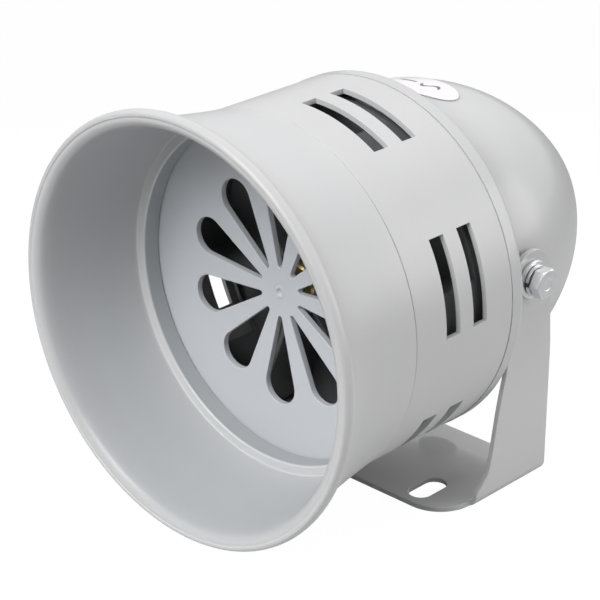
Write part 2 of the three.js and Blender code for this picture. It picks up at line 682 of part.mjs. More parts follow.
siren.add(
  mesh('impeller', impeller(), BLACK_PLASTIC),
  mesh('impeller_hub', impellerHub(), BRASS),
  mesh('hub_screw', hubScrew(), STEEL),
  mesh('motor_shaft', motorShaft(), STEEL),
  mesh('cooling_fan', coolingFan(), BLACK_PLASTIC),
  mesh('armature_core', armatureCore(), LAMINATION),
  mesh('winding_front', windingEnd(107.6, 117.7), COPPER),
  mesh('winding_rear', windingEnd(150.3, 158), COPPER),
  mesh('commutator', commutator(), BRASS),
);

const part = new THREE.Group();
part.add(siren, mesh('mounting_bracket', mountingBracket(), GREY_PAINT));

export default part;
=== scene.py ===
import json
import math

import bmesh
import bpy
from mathutils import Matrix, Vector


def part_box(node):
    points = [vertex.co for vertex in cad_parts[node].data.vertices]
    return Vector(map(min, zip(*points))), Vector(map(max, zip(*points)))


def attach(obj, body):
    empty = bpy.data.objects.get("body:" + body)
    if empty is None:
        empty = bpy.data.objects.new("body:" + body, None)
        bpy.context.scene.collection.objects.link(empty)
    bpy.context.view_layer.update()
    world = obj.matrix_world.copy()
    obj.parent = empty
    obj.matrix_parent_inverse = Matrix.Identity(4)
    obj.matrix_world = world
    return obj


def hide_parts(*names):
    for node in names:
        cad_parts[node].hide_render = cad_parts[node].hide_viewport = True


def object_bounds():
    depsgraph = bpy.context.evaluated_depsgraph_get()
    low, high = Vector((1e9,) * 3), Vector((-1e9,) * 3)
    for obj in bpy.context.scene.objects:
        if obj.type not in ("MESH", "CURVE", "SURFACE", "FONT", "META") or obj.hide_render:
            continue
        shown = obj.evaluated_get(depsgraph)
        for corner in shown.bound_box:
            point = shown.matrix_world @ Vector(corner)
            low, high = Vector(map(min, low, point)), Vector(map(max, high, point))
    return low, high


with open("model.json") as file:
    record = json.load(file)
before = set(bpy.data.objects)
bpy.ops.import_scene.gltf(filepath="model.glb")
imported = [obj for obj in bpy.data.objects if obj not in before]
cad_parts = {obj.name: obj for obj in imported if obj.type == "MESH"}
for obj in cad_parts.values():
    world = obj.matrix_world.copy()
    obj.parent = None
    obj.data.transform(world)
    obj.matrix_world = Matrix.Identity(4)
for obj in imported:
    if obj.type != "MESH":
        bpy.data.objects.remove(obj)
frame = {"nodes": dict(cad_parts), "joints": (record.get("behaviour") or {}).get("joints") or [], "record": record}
cad_low, cad_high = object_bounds()
scene = bpy.context.scene


# ---- viewpoint --------------------------------------------------------------------------------
# A long lens stands in front of the siren, to its right and well above it. It looks down without
# any roll and takes in the mouth, the side and the right arm.
VIEWPOINT = (0.4958, -0.5730, 0.4026)
AZIMUTH = math.radians(43.76)
ELEVATION = math.radians(24.61)
LENS = 129.85

camera = bpy.data.objects.new("camera", bpy.data.cameras.new("camera"))
scene.collection.objects.link(camera)
camera.location = VIEWPOINT
camera.rotation_euler = (math.pi / 2 - ELEVATION, 0, AZIMUTH)
camera.data.sensor_width = 36
camera.data.lens = LENS
camera.data.clip_start = 0.05
camera.data.clip_end = 50
scene.camera = camera


# ---- horn -------------------------------------------------------------------------------------
# The flared horn is injection moulded in satin light grey ABS. Its inner face is cooler in tone and
# darkened with painted shade. Its throat step is lighter with painted light, and the band behind the lip
# is darker with painted shade. Its rim is rolled over, its throat steps down to a narrow lip, and a
# spigot behind the lip fits into the drum.
MM = 0.001
MOUTH_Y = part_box("horn_flare")[0].y
AXIS_Z = next(joint for joint in frame["joints"] if joint["name"] == "rotor_spin")["pos_m"][2]
SIREN = Matrix.Translation((0, MOUTH_Y, AXIS_Z)) @ Matrix.Scale(MM, 4)
STEPS = 240

bodies = frame["record"]["behaviour"]["bodies"]
home_of = {node: body for body, nodes in bodies.items() for node in nodes}


class Wire:
    """A shader socket that takes part in arithmetic."""

    def __init__(self, finish, socket):
        self.finish = finish
        self.socket = socket

    def reckon(self, operation, *others):
        values = dict(enumerate((self, *others)))
        return self.finish.node("ShaderNodeMath", {"operation": operation}, values)

    def __add__(self, other):
        return self.reckon("ADD", other)

    def __sub__(self, other):
        return self.reckon("SUBTRACT", other)

    def __mul__(self, other):
        return self.reckon("MULTIPLY", other)

    def __lt__(self, other):
        return self.reckon("LESS_THAN", other)

    def __abs__(self):
        return self.reckon("ABSOLUTE")


class Finish:
    """A material built round its Principled shader."""

    def __init__(self, name, **constants):
        self.material = bpy.data.materials.new(name)
        self.material.use_nodes = True
        self.tree = self.material.node_tree
        self.shader = self.tree.nodes["Principled BSDF"]
        self.feed(**constants)
        self.place = self.node("ShaderNodeTexCoord", output="Object")

    def feed(self, **sockets):
        for name, value in sockets.items():
            self.join(self.shader.inputs[name.replace("_", " ")], value)

    def join(self, socket, value):
        if isinstance(value, Wire):
            self.tree.links.new(value.socket, socket)
        else:
            socket.default_value = value

    def node(self, kind, settings=None, sockets=None, output=0):
        made = self.tree.nodes.new(kind)
        for name, value in (settings or {}).items():
            setattr(made, name, value)
        for name, value in (sockets or {}).items():
            self.join(made.inputs[name], value)
        return Wire(self, made.outputs[output])

    def noise(self, scale, detail=3.0, place=None):
        sockets = {"Vector": place or self.place, "Scale": scale, "Detail": detail, "Roughness": 0.55}
        return self.node("ShaderNodeTexNoise", None, sockets, "Fac")

    def ramp(self, value, low, high):
        """Value's way from low, which gives 0, to high, which gives 1, and no further."""
        sockets = {"Value": value, "From Min": low, "From Max": high}
        return self.node("ShaderNodeMapRange", {"clamp": True}, sockets, "Result")

    def mixed(self, factor, first, second):
        return self.node("ShaderNodeMix", {"data_type": "RGBA"}, {0: factor, 6: first, 7: second}, 2)

    def stretched(self, x, y, z):
        settings = {"operation": "MULTIPLY"}
        return self.node("ShaderNodeVectorMath", settings, {0: self.place, 1: (x, y, z)})

    def axis(self, name):
        return self.node("ShaderNodeSeparateXYZ", None, {0: self.place}, name)

    def length(self, vector):
        return self.node("ShaderNodeVectorMath", {"operation": "LENGTH"}, {0: vector}, "Value")

    def bumped(self, *layers):
        """Layers of (height, depth in metres), each laid over the one before."""
        normal = None
        for height, depth in layers:
            sockets = {"Height": height, "Distance": depth, "Strength": 1.0}
            if normal:
                sockets["Normal"] = normal
            normal = self.node("ShaderNodeBump", None, sockets, "Normal")
        self.feed(Normal=normal)


def moulded(name, light, shaded, roughness, grain=0.000004):
    """Moulded plastic: slow flow variation, fine speckle and a faint grain from the tool."""
    made = Finish(name, IOR=1.5)
    flow = made.noise(14, 2.0)
    speckle = made.noise(1500, 2.0)
    shade = made.ramp(flow * 0.75 + speckle * 0.25, 0.35, 0.65)
    made.feed(Base_Color=made.mixed(shade, shaded, light))
    made.feed(Roughness=made.noise(55, 4.0) * 0.14 + (roughness - 0.07))
    made.bumped((made.noise(25, 1.0), 0.00006), (speckle, grain))
    return made


def smooth_run(points, pieces=5):
    """Catmull-Rom curve through a run of points, ends included."""
    ends = [tuple(2 * a - b for a, b in zip(points[0], points[1]))]
    ends.append(tuple(2 * a - b for a, b in zip(points[-1], points[-2])))
    run = [ends[0], *points, ends[1]]
    curve = []
    for before, start, stop, after in zip(run, run[1:], run[2:], run[3:]):
        for step in range(pieces):
            t = step / pieces
            curve.append(tuple(
                0.5 * (2 * b + (c - a) * t + (2 * a - 5 * b + 4 * c - d) * t * t
                       + (3 * b - a - 3 * c + d) * t ** 3)
                for a, b, c, d in zip(before, start, stop, after)
            ))
    return [*curve, tuple(points[-1])]


def round_run(centre, radius, start, stop, steps):
    """Points of an arc, from one angle to another in degrees."""
    turns = [math.radians(start + (stop - start) * i / steps) for i in range(steps + 1)]
    return [(centre[0] + radius * math.cos(t), centre[1] + radius * math.sin(t)) for t in turns]


def ring_at(made, radius, station, steps):
    """Vertices of a circle about the siren's axis."""
    turns = [math.tau * step / steps for step in range(steps)]
    return [made.verts.new((radius * math.cos(t), station, radius * math.sin(t))) for t in turns]


def bridged(made, rings):
    """Joins each ring of vertices to the next one by a band of faces."""
    for first, second in zip(rings, rings[1:]):
        for i in range(len(first)):
            j = (i + 1) % len(first)
            made.faces.new((first[i], first[j], second[j], second[i]))


def turned(profile, steps=STEPS, windows=()):
    """Skin turned about the siren's axis from a closed profile of (radius, station). A window is
    (outer radius, inner radius, front, rear, first step, last step) and opens the wall there."""
    made = bmesh.new()
    rings = [ring_at(made, radius, station, steps) for radius, station in profile]
    at = dict(zip(profile, rings))

    def open_between(start, stop, step):
        for outer, inner, front, rear, first, last in windows:
            in_wall = start[0] == stop[0] and start[0] in (outer, inner)
            if in_wall and front <= min(start[1], stop[1]) and max(start[1], stop[1]) <= rear:
                if first <= step < last:
                    return True
        return False

    for i, ring in enumerate(rings):
        j = (i + 1) % len(rings)
        if profile[i][0] == 0 and profile[j][0] == 0:
            continue
        for step in range(steps):
            if not open_between(profile[i], profile[j], step):
                after = (step + 1) % steps
                made.faces.new((ring[step], ring[after], rings[j][after], rings[j][step]))
    for outer, inner, front, rear, first, last in windows:
        for station in (front, rear):
            over, under = at[outer, station], at[inner, station]
            for step in range(first, last):
                after = (step + 1) % steps
                made.faces.new((over[step], over[after], under[after], under[step]))
        for step in (first, last):
            step %= steps
            corners = (at[outer, front], at[outer, rear], at[inner, rear], at[inner, front])
            made.faces.new([ring[step] for ring in corners])
    bmesh.ops.remove_doubles(made, verts=made.verts, dist=1e-5)
    bmesh.ops.recalc_face_normals(made, faces=made.faces)
    return made


def piece(name, skin, finish, *nodes, rounding=0.0, place=SIREN, sharp=32):
    """A finished piece that stands for CAD nodes and on their body."""
    mesh = bpy.data.meshes.new(name)
    skin.to_mesh(mesh)
    skin.free()
    mesh.transform(place)
    mesh.materials.append(finish.material)
    mesh.shade_smooth()
    made = bpy.data.objects.new(name, mesh)
    scene.collection.objects.link(made)
    if rounding:
        edge = made.modifiers.new("rounded edges", "BEVEL")
        edge.width = rounding * MM
        edge.segments = 3
        edge.limit_method = "ANGLE"
        edge.angle_limit = math.radians(sharp)
        edge.use_clamp_overlap = True
    made.modifiers.new("even shading", "WEIGHTED_NORMAL").keep_sharp = True
    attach(made, home_of[nodes[0]])
    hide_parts(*nodes)
    return made


THROAT = 43.5
HORN_END = 46.4
SPIGOT_END = 50.8
HORN_GREYS = ((0.652, 0.652, 0.66, 1), (0.612, 0.612, 0.617, 1))
HORN_ROUGHNESS = 0.36
# Inside greys: a cooler tone darkened with painted shade, painted light on the throat's step, and painted shade on
# the band behind the lip.
INSIDE_GREY_WITH_SHADE = (0.51, 0.523, 0.537, 1)
STEP_PAINTED_LIGHT = (0.66, 0.67, 0.68, 1)
LIP_PAINTED_SHADE = (0.4, 0.42, 0.43, 1)
FLARE_TAPER = 0.161
INNER_FROM, INNER_FULL = 76.8, 74.2

# A cone that runs between the flare's two skins parts the inner tone from the outer one. The inner
# tone is cooler and darkened with painted shade. On it, the throat's step carries painted light and the
# band behind the lip carries painted shade.
flare_plastic = moulded("flare ABS", *HORN_GREYS, HORN_ROUGHNESS)
off_axis = flare_plastic.node("ShaderNodeCombineXYZ", None, {
    "X": flare_plastic.axis("X"), "Y": flare_plastic.axis("Z") - AXIS_Z,
})
station = flare_plastic.axis("Y") - MOUTH_Y
taken_to_mouth = flare_plastic.length(off_axis) + station * FLARE_TAPER
inside_tone_shade_mask = flare_plastic.ramp(taken_to_mouth, INNER_FROM * MM, INNER_FULL * MM)
# Masks for the painted light on the throat's step and the painted shade on the band behind the lip.
step_light_mask = flare_plastic.ramp(station, (THROAT - 0.5) * MM, (THROAT - 0.2) * MM)
lip_shade_mask = flare_plastic.ramp(station, (THROAT + 0.3) * MM, (THROAT + 0.9) * MM)
outer_tone = Wire(flare_plastic, flare_plastic.shader.inputs["Base Color"].links[0].from_socket)
inner_tone_light_and_shade = flare_plastic.mixed(step_light_mask, INSIDE_GREY_WITH_SHADE, STEP_PAINTED_LIGHT)
inner_tone_light_and_shade = flare_plastic.mixed(lip_shade_mask, inner_tone_light_and_shade, LIP_PAINTED_SHADE)
flare_plastic.feed(Base_Color=flare_plastic.mixed(inside_tone_shade_mask, outer_tone, inner_tone_light_and_shade))

flare_outside = smooth_run([(69.4, HORN_END), (70.0, 41.0), (71.6, 30.0), (74.0, 16.0), (76.2, 6.2)])
rolled_rim = smooth_run([
    (76.6, 5.5), (78.4, 5.2), (79.6, 4.0), (80.0, 2.2), (79.7, 0.9), (78.9, 0.1), (77.9, 0.0),
])
rim_step = smooth_run([
    (77.6, 0.35), (76.4, 0.35), (75.2, 0.9), (73.9, 2.2), (72.9, 5.0), (72.0, 10.0),
], 4)
flare_inside = smooth_run([(71.4, 15.0), (70.4, 22.0), (69.4, 30.0), (68.5, 38.0), (67.9, 42.7)])
throat_lip = [(67.4, THROAT), (64.3, THROAT), (63.8, THROAT + 0.7)]
spigot = [(63.6, SPIGOT_END), (66.8, SPIGOT_END), (66.8, HORN_END)]
piece(
    "horn", turned([*flare_outside, *rolled_rim, *rim_step, *flare_inside, *throat_lip, *spigot]),
    flare_plastic, "horn_flare", rounding=0.25,
)


# ---- sound grille -----------------------------------------------------------------------------
# A flat moulded disc of cooler grey ABS closes the throat. Ten petals are open in it, each with a
# small round end near the middle, and the gate has left a shallow dimple at the centre.
GRILLE_R = 66.7
GRILLE_FRONT = 51.1
GRILLE_THICK = 2.6
GATE_R = 2.95
PETALS = 10
PETAL_EDGE = 0.35

grille_plastic = moulded("grille ABS", (0.625, 0.645, 0.678, 1), (0.593, 0.613, 0.642, 1), 0.32)


def plate(outlines, thickness, edge, place):
    """Flat plate with holes, its edges rounded, from closed outlines. It lies in XY about z = 0."""
    curve = bpy.data.curves.new("outline", "CURVE")
    curve.dimensions = "2D"
    curve.fill_mode = "BOTH"
    curve.extrude = thickness / 2 - edge
    curve.bevel_depth = edge
    curve.bevel_resolution = 2
    curve.offset = -edge
    for outline in outlines:
        spline = curve.splines.new("POLY")
        spline.points.add(len(outline) - 1)
        for point, (u, v) in zip(spline.points, outline):
            point.co = (u, v, 0, 1)
        spline.use_cyclic_u = True
    holder = bpy.data.objects.new("outline", curve)
    scene.collection.objects.link(holder)
    bpy.context.view_layer.update()
    shape = holder.evaluated_get(bpy.context.evaluated_depsgraph_get())
    mesh = bpy.data.meshes.new_from_object(shape)
    made = bmesh.new()
    made.from_mesh(mesh)
    bpy.data.objects.remove(holder)
    bpy.data.curves.remove(curve)
    bpy.data.meshes.remove(mesh)
    bmesh.ops.remove_doubles(made, verts=made.verts, dist=1e-4)
    bmesh.ops.recalc_face_normals(made, faces=made.faces)
    bmesh.ops.transform(made, matrix=place, verts=made.verts)
    return made


def petal(turn):
    """Outline of two round ends and the straight sides that touch both, out along one ray."""
    tip, tip_r, end, end_r = 10.5, 0.9, 37.6, 7.2
    lean = math.degrees(math.asin((end_r - tip_r) / (end - tip)))
    ends = round_run((end, 0), end_r, -90 - lean, 90 + lean, 32)
    ends += round_run((tip, 0), tip_r, 90 + lean, 270 - lean, 10)
    c, s = math.cos(turn), math.sin(turn)
    return [(u * c - v * s, u * s + v * c) for u, v in ends]


def added(skin, other):
    """Joins a second skin to the first as part of the same piece."""
    mesh = bpy.data.meshes.new("part")
    other.to_mesh(mesh)
    other.free()
    skin.from_mesh(mesh)
    bpy.data.meshes.remove(mesh)
    return skin


disc_outlines = [round_run((0, 0), GRILLE_R, 0, 360, STEPS)[:-1]]
disc_outlines.append(round_run((0, 0), GATE_R - PETAL_EDGE, 0, 360, 48)[:-1])
disc_outlines += [petal(math.tau * (i + 0.5) / PETALS) for i in range(PETALS)]
facing_mouth = Matrix.Rotation(math.pi / 2, 4, "X")
disc_place = Matrix.Translation((0, GRILLE_FRONT + GRILLE_THICK / 2, 0)) @ facing_mouth
disc = plate(disc_outlines, GRILLE_THICK, PETAL_EDGE, disc_place)
dimple = smooth_run([(0, 52.1), (0.6, 52.0), (1.1, 51.5), (1.5, 51.0), (2.2, 51.0), (GATE_R, 51.3)], 3)
gate = turned([*dimple, (GATE_R, 53.3), (0, 53.3)], 48)
piece("grille", added(disc, gate), grille_plastic, "sound_grille")


# ---- drum -------------------------------------------------------------------------------------
# The drum is a plain ABS tube round the rotor. Six pairs of slots let the chopped air out, and a
# ledge at each end carries the grille and the motor plate.
DRUM_R = 69.1
DRUM_BORE = 67.1
DRUM_FRONT, DRUM_REAR = 46.7, 98.25
SLOT_ROWS = ((62.4, 69.7), (76.8, 84.1))
PORTS = 6
STEPS_A_PORT = STEPS // PORTS

drum_plastic = moulded("drum ABS", *HORN_GREYS, HORN_ROUGHNESS)


def ledge(front, rear, inner):
    """Outline of a ledge inside the drum, from its rear face round to its front face."""
    return [(DRUM_BORE, rear), (inner, rear), (inner, front), (DRUM_BORE, front)]


outer_wall = [(68.8, DRUM_FRONT), (DRUM_R, DRUM_FRONT + 0.3)]
outer_wall += [(DRUM_R, y) for row in SLOT_ROWS for y in row]
outer_wall += [(DRUM_R, DRUM_REAR - 0.15), (69.0, DRUM_REAR), (DRUM_BORE, DRUM_REAR)]
inner_wall = ledge(92.0, 94.7, 58.5)
inner_wall += [(DRUM_BORE, y) for row in reversed(SLOT_ROWS) for y in reversed(row)]
inner_wall += [*ledge(54.0, 55.8, 62.5), (DRUM_BORE, DRUM_FRONT)]
slots = [
    (DRUM_R, DRUM_BORE, front, rear, port * STEPS_A_PORT, port * STEPS_A_PORT + STEPS_A_PORT // 2)
    for port in range(PORTS) for front, rear in SLOT_ROWS
]
drum = turned([*outer_wall, *inner_wall], windows=slots)
piece("drum", drum, drum_plastic, "drum_housing", rounding=0.3)


# ---- motor cover ------------------------------------------------------------------------------
# A deep-drawn steel dome in satin grey paint closes the motor. Its flange sits on the drum behind a
# fine seam, and its nose is rounded off.
COVER_R = 60.5
RING_R = 69.4
RING_FRONT = 98.4
STRAIGHT_FROM = 106.4
SWELL = 118.0
NOSE = 183.0
DRAWN_IN = 27.6
DRAW_POWER = 2.11
NOSE_FLAT = 8.0
NOSE_LEAN = 42.0
WALL = 1.3


def painted(name, roughness, **coat):
    """Grey enamel on sheet steel, with a soft orange peel and a few dark flecks."""
    made = Finish(name, IOR=1.45, **coat)
    settled = made.noise(9, 2.0)
    flecks = made.ramp(made.noise(2600, 1.0), 0.66, 0.74)
    even = made.mixed(settled, (0.587, 0.588, 0.59, 1), (0.618, 0.619, 0.621, 1))
    made.feed(Base_Color=made.mixed(flecks * 0.15, even, (0.42, 0.42, 0.43, 1)))
    made.feed(Roughness=made.noise(40, 3.0) * 0.1 + roughness)
    made.bumped((made.noise(30, 1.0), 0.00003), (made.noise(420, 2.0), 0.0000055))
    return made


cover_paint = painted("satin grey paint", 0.33, Coat_Weight=0.4, Coat_Roughness=0.2)


def cover_radius(station):
    """The dome's outside: straight up to the swell, then drawn in ever faster to the nose."""
    return COVER_R - DRAWN_IN * max(0.0, (station - SWELL) / (NOSE - SWELL)) ** DRAW_POWER


def cover_slope(station):
    return cover_radius(station + 0.5) - cover_radius(station - 0.5)


def cover_skin(inset):
    """Profile of the dome, moved in square to itself, from its straight part to the axis."""
    skin = []
    for i in range(41):
        station = STRAIGHT_FROM + (NOSE - STRAIGHT_FROM) * i / 40
        slope = cover_slope(station)
        length = math.hypot(1, slope)
        skin.append((cover_radius(station) - inset / length, station + inset * slope / length))
    nose_r = (cover_radius(NOSE) - NOSE_FLAT) / math.cos(math.radians(NOSE_LEAN))
    centre = (NOSE_FLAT, NOSE - nose_r * math.sin(math.radians(NOSE_LEAN)))
    skin += round_run(centre, nose_r - inset, NOSE_LEAN + 3, 90, 16)
    return [*skin, (0, centre[1] + nose_r - inset)]


flange = [(RING_R, RING_FRONT), (RING_R, 102.6), *round_run((RING_R - 2.6, 102.7), 2.6, 8, 82, 8)]
flange += [(62.6, 105.3), *round_run((62.9, 107.7), 2.4, 262, 190, 6)]
cavity = [*reversed(cover_skin(WALL)), (COVER_R - WALL, 103.3), (67.3, 103.3), (67.3, RING_FRONT)]
cover = turned([*flange, *cover_skin(0), *cavity])
piece("cover", cover, cover_paint, "rear_cover", rounding=0.3)


# ---- rating label -----------------------------------------------------------------------------
# An oval white vinyl label lies on the crown of the cover. It carries only the wave mark for
# alternating current and a bar, with no lettering.
LABEL_MIDDLE = 126.4
LABEL_HALF_WIDTH = 10.0
LABEL_HALF_TURN = 16.2
WAVE_AT, BAR_AT, MARK_HALF = 0.28, -0.35, 0.24

vinyl = Finish("white vinyl", IOR=1.46, Coat_Weight=0.3, Coat_Roughness=0.15)
label_reach = cover_radius(LABEL_MIDDLE) * MM * math.sin(math.radians(LABEL_HALF_TURN))
label_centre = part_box("rating_label")[0].y + LABEL_HALF_WIDTH * MM
across = vinyl.axis("X") * (1 / label_reach)
along = (vinyl.axis("Y") - label_centre) * (1 / (LABEL_HALF_WIDTH * MM))
from_wave = across - WAVE_AT
from_bar = across - BAR_AT
wave = (from_wave * 13.0).reckon("SINE") * 0.2
printed = (abs(along - wave) < 0.09) * (abs(from_wave) < MARK_HALF)
printed = printed + (abs(from_bar) < MARK_HALF) * (abs(along) < 0.07)
ink = vinyl.mixed(printed, (0.9, 0.875, 0.905, 1), (0.05, 0.05, 0.055, 1))
vinyl.feed(Base_Color=vinyl.mixed(vinyl.noise(300, 2.0) * 0.12, ink, (0.8, 0.79, 0.8, 1)))
vinyl.feed(Roughness=vinyl.noise(90, 3.0) * 0.12 + 0.28)
vinyl.bumped((vinyl.noise(160, 2.0), 0.00002))


def label_skin():
    """The oval laid over the crown, ring by ring from its underside's edge in to its middle."""
    made = bmesh.new()
    spokes = 96
    levels = [(1.0, 0.22), (1.0, 0.48), (0.985, 0.58)]
    levels += [(share, 0.6) for share in (0.9, 0.7, 0.5, 0.3, 0.1)]
    rings = []
    for share, lift in levels:
        ring = []
        for spoke in range(spokes):
            turn = math.tau * spoke / spokes
            y = LABEL_MIDDLE + LABEL_HALF_WIDTH * share * math.sin(turn)
            side = math.radians(90 + LABEL_HALF_TURN * share * math.cos(turn))
            radius = cover_radius(y) + lift
            ring.append(made.verts.new((radius * math.cos(side), y, radius * math.sin(side))))
        rings.append(ring)
    bridged(made, rings)
    made.faces.new(rings[-1])
    made.faces.new(rings[0])
    bmesh.ops.recalc_face_normals(made, faces=made.faces)
    return made


piece("label", label_skin(), vinyl, "rating_label")


# ---- cable grommet ----------------------------------------------------------------------------
# A round grommet of black moulded rubber sits in the underside of the cover, where the supply cable
# goes in. Its groove snaps into the hole in the sheet.
GROMMET_STATION = 142.0
GROMMET_SINK = 0.65

rubber = Finish("black rubber", IOR=1.52)
bloom = rubber.noise(500, 3.0)
rubber.feed(Base_Color=rubber.mixed(bloom, (0.012, 0.012, 0.013, 1), (0.035, 0.035, 0.036, 1)))
rubber.feed(Roughness=rubber.noise(120, 3.0) * 0.25 + 0.55)
rubber.bumped((rubber.noise(900, 3.0), 0.00003))

grommet_profile = [
    (3, -3.8), (6.6, -3.8), (7, -3.2), (7, -1.9), (4.9, -1.9), (4.9, 1.9), (8, 1.9),
    *smooth_run([(8, 3.0), (7.4, 3.9), (5.6, 4.8), (4.4, 5.0), (3.4, 4.6), (3, 3.6)], 3),
]
grommet_place = Matrix.Translation((0, GROMMET_STATION, GROMMET_SINK - cover_radius(GROMMET_STATION)))
grommet_place @= Matrix.Rotation(-math.pi / 2 - math.atan(cover_slope(GROMMET_STATION)), 4, "X")
piece(
    "grommet", turned(grommet_profile, 64), rubber, "cable_grommet",
    rounding=0.25, place=SIREN @ grommet_place,
)


# ---- mounting bracket -------------------------------------------------------------------------
# One blank of 2 mm steel strip, punched with two slots and two pivot holes, bent up into a U and
# painted a glossier grey than the cover. Each arm tapers and ends in a round.
STRIP = 2.0
ARM_OUT = 62.8
BEND = 4.5
FLAT_END = ARM_OUT - BEND
MIDDLE_R = BEND - STRIP / 2
BEND_LENGTH = math.pi / 2 * MIDDLE_R
PIVOT_STATION = 117.0
PIVOT_HEIGHT = 84.3
BASE_REAR = 130.6
ARM_TOP_R = 11.0
SLOT_AT = 41.7
SLOT_R = 4.5
SLOT_FRONT, SLOT_REAR = 83.1, 91.3

bracket_paint = painted("gloss grey paint", 0.28, Coat_Weight=1.0, Coat_Roughness=0.02, Coat_IOR=1.6)


def unrolled(height):
    """Distance along the blank from its middle to a height on an arm."""
    return FLAT_END + BEND_LENGTH + height - BEND


front_edge = smooth_run([
    (5.2, 90.15), (6.9, 91.3), (9.1, 93.8), (12.6, 96.6), (18.0, 98.2), (25.0, 99.6), (35.0, 101.4),
    (44.0, 103.4), (52.0, 105.2), (66.0, 105.9), (80.0, 106.0),
], 4)
arm_top = round_run((PIVOT_STATION, PIVOT_HEIGHT), ARM_TOP_R, 178, 5, 40)
half_blank = round_run((44.6, 90), 15, -90, -3, 24) + [(59.8, 90.0)]
half_blank += [(unrolled(height), station) for height, station in front_edge]
half_blank += [(unrolled(height), station) for station, height in arm_top]
half_blank += [(unrolled(56), 130.4), (unrolled(50), BASE_REAR)]
blank = half_blank + [(-along_strip, station) for along_strip, station in reversed(half_blank)]
holes = []
for side in (1, -1):
    rear_end = round_run((side * SLOT_AT, SLOT_REAR), SLOT_R, 0, 180, 24)
    front_end = round_run((side * SLOT_AT, SLOT_FRONT), SLOT_R, 180, 360, 24)
    holes.append(rear_end + front_end)
    holes.append(round_run((side * unrolled(PIVOT_HEIGHT), PIVOT_STATION), 3.4, 0, 360, 40)[:-1])

strip_skin = plate([blank, *holes], STRIP, 0.3, Matrix.Identity(4))
for side in (1, -1):
    for fold in range(11):
        cut_at = (side * (FLAT_END + BEND_LENGTH * fold / 10), 0, 0)
        whole = [*strip_skin.verts, *strip_skin.edges, *strip_skin.faces]
        bmesh.ops.bisect_plane(strip_skin, geom=whole, dist=1e-5, plane_co=cut_at, plane_no=(1, 0, 0))
for vertex in strip_skin.verts:
    run, station, lift = vertex.co
    side = math.copysign(1, run)
    past = abs(run) - FLAT_END
    turn = min(max(past / MIDDLE_R, 0), math.pi / 2)
    radius = MIDDLE_R - lift
    over = abs(run) if past < 0 else FLAT_END + radius * math.sin(turn)
    up = BEND - radius * math.cos(turn) + max(0, past - BEND_LENGTH)
    vertex.co = (side * over, station, up)
bmesh.ops.recalc_face_normals(strip_skin, faces=strip_skin.faces)
base_place = Matrix.Translation((0, MOUTH_Y, 0)) @ Matrix.Scale(MM, 4)
piece("bracket", strip_skin, bracket_paint, "mounting_bracket", place=base_place)


# ---- pivot bolts ------------------------------------------------------------------------------
# M6 hexagon-head bolts in bright zinc hold the cover between the arms, each with a split spring
# washer and a flat washer under its head.
PIVOT_UP = PIVOT_HEIGHT - AXIS_Z / MM
FLAT_AT = ARM_OUT + 0.15
LOCK_AT = FLAT_AT + 1.45
HEAD_AT = LOCK_AT + 1.65
HEAD_H = 4.2
HEX_FLATS = 10.4
CHAMFER_IN = 0.1
CHAMFER_SLOPE = math.tan(math.radians(24))
BOLT_TIP = 47

zinc = Finish("bright zinc plate", Metallic=1.0)
brushed = zinc.noise(700, 4.0, place=zinc.stretched(0.2, 1, 1))
cloudy = zinc.noise(260, 3.0)
zinc.feed(Base_Color=zinc.mixed(cloudy, (0.74, 0.755, 0.78, 1), (0.9, 0.905, 0.91, 1)))
zinc.feed(Roughness=brushed * 0.16 + 0.3)
zinc.bumped((cloudy, 0.00001), (brushed, 0.000003))


def hexagon_head():
    """Chamfered hexagon on a washer face, with a shallow dish in its top, along Y from y = 0."""
    made = bmesh.new()
    steps = 96
    apothem = HEX_FLATS / 2
    top = [(0, HEAD_H - 0.15), (2.1, HEAD_H - 0.15), (2.5, HEAD_H), (apothem - CHAMFER_IN, HEAD_H)]
    underside = [(apothem - 0.2, 0.4), (apothem - 0.3, 0), (0, 0)]
    rings = [ring_at(made, radius, y, steps) for radius, y in top]
    edge, foot = [], []
    for step in range(steps):
        turn = math.tau * step / steps
        reach = apothem / math.cos((turn + math.pi / 6) % (math.pi / 3) - math.pi / 6)
        drop = (reach - apothem + CHAMFER_IN) * CHAMFER_SLOPE
        edge.append(made.verts.new((reach * math.cos(turn), HEAD_H - drop, reach * math.sin(turn))))
        foot.append(made.verts.new((reach * math.cos(turn), 0.4, reach * math.sin(turn))))
    rings += [edge, foot, *[ring_at(made, radius, y, steps) for radius, y in underside]]
    bridged(made, rings)
    bmesh.ops.remove_doubles(made, verts=made.verts, dist=1e-5)
    bmesh.ops.recalc_face_normals(made, faces=made.faces)
    return made


def shank():
    """Threaded shank of the bolt, 1 mm pitch, along Y from its tip to the head at y = 0."""
    length = HEAD_AT - BOLT_TIP
    thread = []
    for turn in range(int(length) - 1):
        thread += [(2.62, -turn - 0.1), (3.0, -turn - 0.5), (3.0, -turn - 0.65)]
    return turned([(0, 0.2), (2.62, 0.2), *thread, (2.3, -length), (0, -length)], 32)


def spring_washer():
    """Split washer: one turn of square wire whose two ends stand a little apart."""
    made = bmesh.new()
    steps = 90
    corners = ((3.5, 0.15), (5.8, 0.15), (5.8, 1.35), (3.5, 1.35))
    rings = []
    for step in range(steps + 1):
        turn = math.radians(8 + 344 * step / steps)
        c, s = math.cos(turn), math.sin(turn)
        rise = 0.25 * (step / steps - 0.5)
        rings.append([made.verts.new((r * c, y + rise, r * s)) for r, y in corners])
    bridged(made, rings)
    made.faces.new(rings[0])
    made.faces.new(rings[-1])
    bmesh.ops.recalc_face_normals(made, faces=made.faces)
    return made


def at_pivot(side, out):
    """Takes a piece drawn along +Y to the outside of one arm, that far out along the pivot."""
    turn = Matrix.Rotation(-side * math.pi / 2, 4, "Z")
    return SIREN @ Matrix.Translation((side * out, PIVOT_STATION, PIVOT_UP)) @ turn


